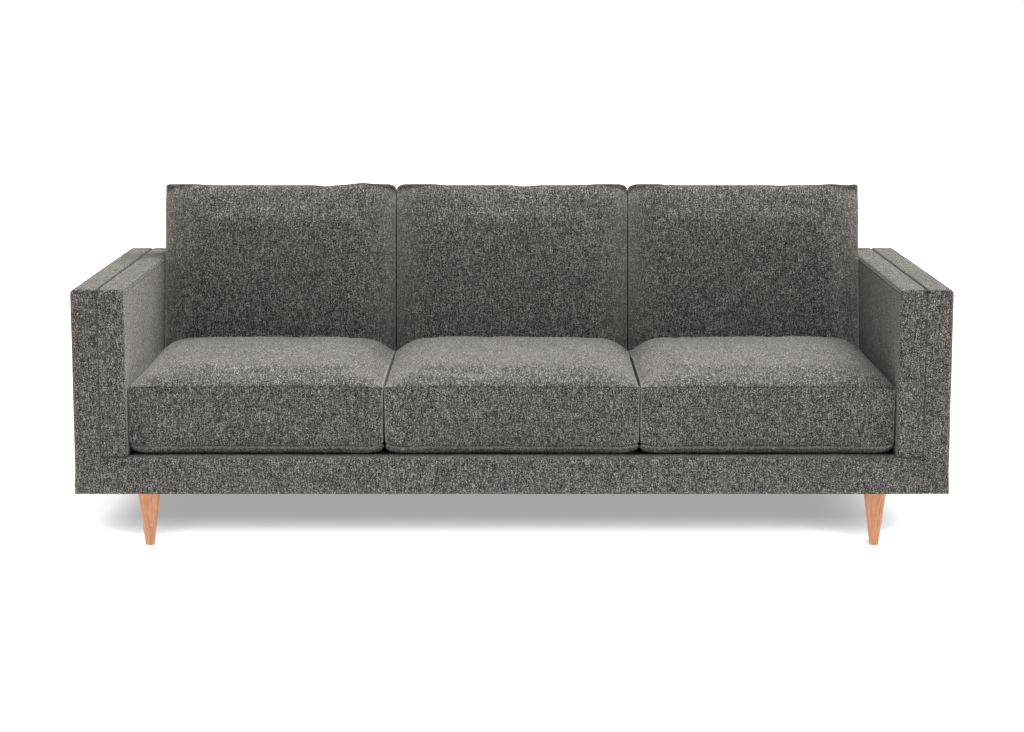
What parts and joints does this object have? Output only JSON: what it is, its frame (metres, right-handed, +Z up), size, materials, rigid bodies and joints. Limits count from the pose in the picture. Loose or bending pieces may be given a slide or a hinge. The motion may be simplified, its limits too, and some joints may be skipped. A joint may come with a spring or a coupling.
{
  "type": "sofa",
  "caption": "Upholstered tweed sofa with slab arms in two padded layers, loose boxed seat cushions, leaning back cushions and round tapered wooden legs.",
  "frame": {"origin": "on the floor under the middle of the sofa's bounding box", "axes": "+X along the seat to the viewer's right, +Y from the front to the back, +Z up"},
  "size_m": [2.184, 0.965, 0.861],
  "materials": {
    "leg_wood": "satin",
    "zinc_steel": "satin",
    "frame_timber": "matte",
    "spring_steel": "satin",
    "webbing": "matte",
    "foam": "matte",
    "tweed": "matte",
    "cushion_tweed": "matte",
    "deck_cloth": "matte",
    "dust_cloth": "matte"
  },
  "bodies": {
    "frame": {"leg_front_left": "leg_wood", "leg_front_right": "leg_wood", "leg_rear_left": "leg_wood", "leg_rear_right": "leg_wood", "hanger_bolt_front_left": "zinc_steel", "hanger_bolt_front_right": "zinc_steel", "hanger_bolt_rear_left": "zinc_steel", "hanger_bolt_rear_right": "zinc_steel", "corner_block_front_left": "frame_timber", "corner_block_front_right": "frame_timber", "corner_block_rear_left": "frame_timber", "corner_block_rear_right": "frame_timber", "front_rail": "frame_timber", "rear_rail": "frame_timber", "back_top_rail": "frame_timber", "side_rail_left": "frame_timber", "cross_rail_left": "frame_timber", "arm_front_post_left": "frame_timber", "arm_rear_post_left": "frame_timber", "arm_top_rail_left": "frame_timber", "back_post_left": "frame_timber", "back_upright_left": "frame_timber", "side_rail_right": "frame_timber", "cross_rail_right": "frame_timber", "arm_front_post_right": "frame_timber", "arm_rear_post_right": "frame_timber", "arm_top_rail_right": "frame_timber", "back_post_right": "frame_timber", "back_upright_right": "frame_timber", "spring_unit_left": "spring_steel", "spring_unit_centre": "spring_steel", "spring_unit_right": "spring_steel", "back_webbing": "webbing", "inner_arm_foam_left": "foam", "inner_arm_foam_right": "foam", "inner_back_foam": "foam", "deck_pad": "foam", "front_edge_roll": "foam", "outer_arm_cover_left": "tweed", "outer_arm_cover_right": "tweed", "inner_arm_cover_left": "tweed", "inner_arm_cover_right": "tweed", "front_rail_cover": "tweed", "back_outer_cover": "tweed", "inner_back_cover": "tweed", "deck_cover": "deck_cloth", "dust_cover": "dust_cloth"},
    "seat_cushion_left": {"seat_cushion_cover_left": "cushion_tweed", "seat_cushion_core_left": "foam"},
    "seat_cushion_centre": {"seat_cushion_cover_centre": "cushion_tweed", "seat_cushion_core_centre": "foam"},
    "seat_cushion_right": {"seat_cushion_cover_right": "cushion_tweed", "seat_cushion_core_right": "foam"},
    "back_cushion_left": {"back_cushion_cover_left": "cushion_tweed", "back_cushion_core_left": "foam"},
    "back_cushion_centre": {"back_cushion_cover_centre": "cushion_tweed", "back_cushion_core_centre": "foam"},
    "back_cushion_right": {"back_cushion_cover_right": "cushion_tweed", "back_cushion_core_right": "foam"}
  },
  "joints": [
    {"name": "seat_cushion_left_lift", "type": "slide", "parent": "frame", "child": "seat_cushion_left", "axis": [0, 0, 1], "range_m": [0, 0.43]},
    {"name": "seat_cushion_centre_lift", "type": "slide", "parent": "frame", "child": "seat_cushion_centre", "axis": [0, 0, 1], "range_m": [0, 0.43]},
    {"name": "seat_cushion_right_lift", "type": "slide", "parent": "frame", "child": "seat_cushion_right", "axis": [0, 0, 1], "range_m": [0, 0.43]},
    {"name": "back_cushion_left_lift", "type": "slide", "parent": "frame", "child": "back_cushion_left", "axis": [0, 0, 1], "range_m": [0, 0.43]},
    {"name": "back_cushion_centre_lift", "type": "slide", "parent": "frame", "child": "back_cushion_centre", "axis": [0, 0, 1], "range_m": [0, 0.43]},
    {"name": "back_cushion_right_lift", "type": "slide", "parent": "frame", "child": "back_cushion_right", "axis": [0, 0, 1], "range_m": [0, 0.43]}
  ]
}
